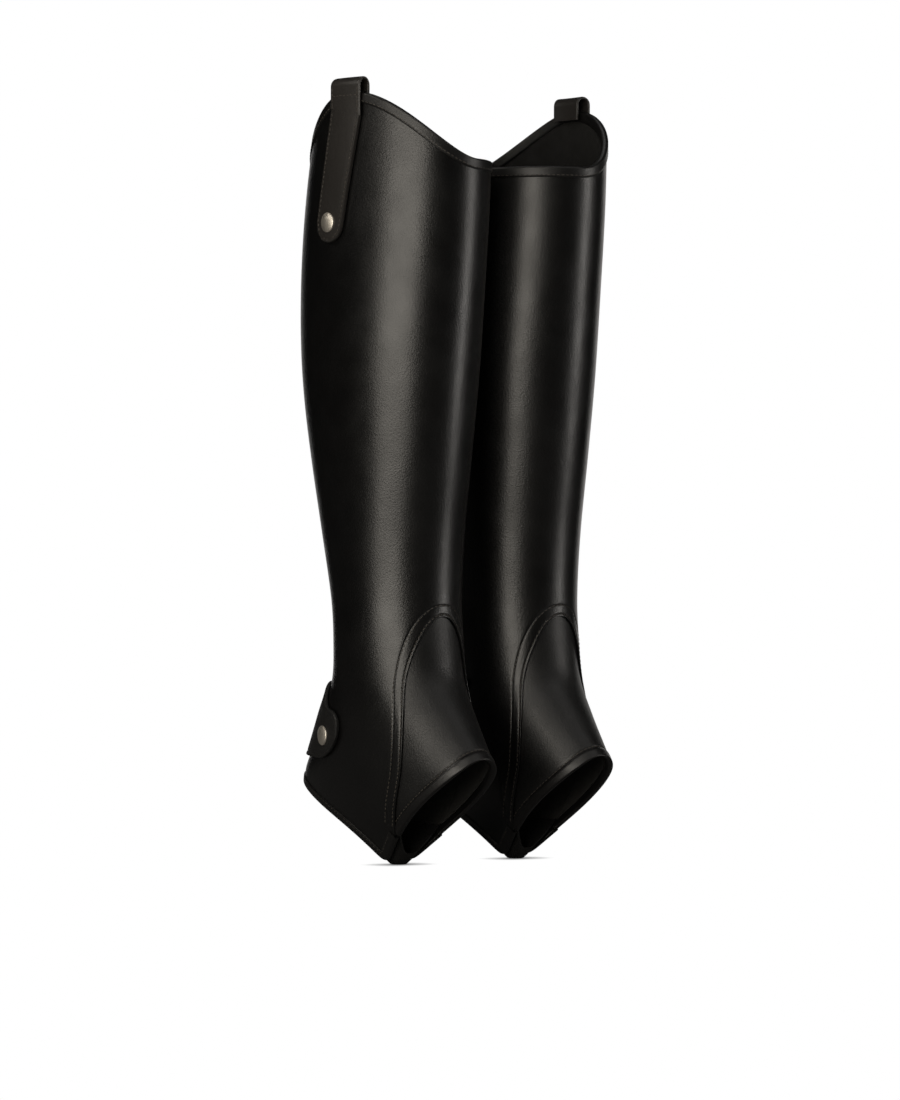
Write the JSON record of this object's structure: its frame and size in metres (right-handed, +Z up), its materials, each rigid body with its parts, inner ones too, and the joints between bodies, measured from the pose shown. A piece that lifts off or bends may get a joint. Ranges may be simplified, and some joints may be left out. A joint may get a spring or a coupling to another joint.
{
  "type": "pair of riding half chaps",
  "caption": "Tall smooth black leather riding gaiters with curved tops, snap-down pull straps, rear zips and heel tabs, shaped to wrap a rider's calf over a short boot.",
  "frame": {"origin": "on the floor, midway between the two gaiters, at the centre of the pair's footprint", "axes": "+Z up, toes towards -Y, the wearer's right gaiter at -X and the left at +X"},
  "size_m": [0.2018, 0.1564, 0.4738],
  "materials": {
    "calf_leather": "smooth semi-gloss black calf leather with a fine grain",
    "edge_binding": "folded black leather binding, satin",
    "lining_leather": "matt charcoal lining",
    "tab_suede": "brushed matt black-grey leather",
    "black_elastic": "ribbed matt elastic webbing",
    "zip_tape": "matt woven tape",
    "zip_teeth": "black coil, slightly shiny",
    "zip_metal": "black-nickel plated",
    "snap_metal": "satin warm nickel"
  },
  "bodies": {
    "right_gaiter": {"right_shaft_leather": "calf_leather", "right_calf_lining": "lining_leather", "right_instep_leather": "calf_leather", "right_instep_lining": "lining_leather", "right_top_binding": "edge_binding", "right_instep_binding": "edge_binding", "right_heel_binding_outer": "edge_binding", "right_heel_binding_inner": "edge_binding", "right_stretch_panel": "black_elastic", "right_zip_edge_strip": "calf_leather", "right_zip_tape_outer": "zip_tape", "right_zip_tape_inner": "zip_tape", "right_zip_teeth_outer": "zip_teeth", "right_zip_teeth_inner": "zip_teeth", "right_zip_box": "zip_teeth", "right_strap_loop": "calf_leather", "right_strap_snap_stud": "snap_metal", "right_heel_tab_anchor": "tab_suede", "right_tab_snap_stud": "snap_metal", "right_foot_elastic": "black_elastic"},
    "right_strap_flap": {"right_strap": "calf_leather", "right_strap_snap_cap": "snap_metal", "right_strap_snap_socket": "snap_metal"},
    "right_heel_flap": {"right_heel_tab": "tab_suede", "right_tab_snap_cap": "snap_metal", "right_tab_snap_socket": "snap_metal"},
    "right_slider": {"right_zip_slider": "zip_metal"},
    "right_puller": {"right_zip_puller": "zip_metal"},
    "left_gaiter": {"left_shaft_leather": "calf_leather", "left_calf_lining": "lining_leather", "left_instep_leather": "calf_leather", "left_instep_lining": "lining_leather", "left_top_binding": "edge_binding", "left_instep_binding": "edge_binding", "left_heel_binding_outer": "edge_binding", "left_heel_binding_inner": "edge_binding", "left_stretch_panel": "black_elastic", "left_zip_edge_strip": "calf_leather", "left_zip_tape_outer": "zip_tape", "left_zip_tape_inner": "zip_tape", "left_zip_teeth_outer": "zip_teeth", "left_zip_teeth_inner": "zip_teeth", "left_zip_box": "zip_teeth", "left_strap_loop": "calf_leather", "left_strap_snap_stud": "snap_metal", "left_heel_tab_anchor": "tab_suede", "left_tab_snap_stud": "snap_metal", "left_foot_elastic": "black_elastic"},
    "left_strap_flap": {"left_strap": "calf_leather", "left_strap_snap_cap": "snap_metal", "left_strap_snap_socket": "snap_metal"},
    "left_heel_flap": {"left_heel_tab": "tab_suede", "left_tab_snap_cap": "snap_metal", "left_tab_snap_socket": "snap_metal"},
    "left_slider": {"left_zip_slider": "zip_metal"},
    "left_puller": {"left_zip_puller": "zip_metal"}
  },
  "joints": [
    {"name": "left_gaiter_place", "type": "slide", "parent": "right_gaiter", "child": "left_gaiter", "axis": [1, 0, 0], "range_m": [0, 0.15]},
    {"name": "right_strap_unsnap", "type": "hinge", "parent": "right_gaiter", "child": "right_strap_flap", "pos_m": [-0.09845, -0.0065, 0.4525], "axis": [-0.0488, 0.977, 0.2075], "range_deg": [0, 140]},
    {"name": "right_heel_tab_unsnap", "type": "hinge", "parent": "right_gaiter", "child": "right_heel_flap", "pos_m": [-0.01476, 0.0275, 0.088], "axis": [-0.109, 0.3956, -0.912], "range_deg": [0, 85]},
    {"name": "right_zip_slide", "type": "hinge", "parent": "right_gaiter", "child": "right_slider", "pos_m": [-0.049, -0.3254, 0.33], "axis": [-1, 0, 0], "range_deg": [0, 22]},
    {"name": "right_puller_swing", "type": "hinge", "parent": "right_slider", "child": "right_puller", "pos_m": [-0.049, 0.06744, 0.41122], "axis": [1, 0, 0], "range_deg": [0, 150]},
    {"name": "left_strap_unsnap", "type": "hinge", "parent": "left_gaiter", "child": "left_strap_flap", "pos_m": [0.09845, -0.0065, 0.4525], "axis": [-0.0488, -0.977, -0.2075], "range_deg": [0, 140]},
    {"name": "left_heel_tab_unsnap", "type": "hinge", "parent": "left_gaiter", "child": "left_heel_flap", "pos_m": [0.01476, 0.0275, 0.088], "axis": [-0.109, -0.3956, 0.912], "range_deg": [0, 85]},
    {"name": "left_zip_slide", "type": "hinge", "parent": "left_gaiter", "child": "left_slider", "pos_m": [0.049, -0.3254, 0.33], "axis": [-1, 0, 0], "range_deg": [0, 22]},
    {"name": "left_puller_swing", "type": "hinge", "parent": "left_slider", "child": "left_puller", "pos_m": [0.049, 0.06744, 0.41122], "axis": [1, 0, 0], "range_deg": [0, 150]}
  ]
}
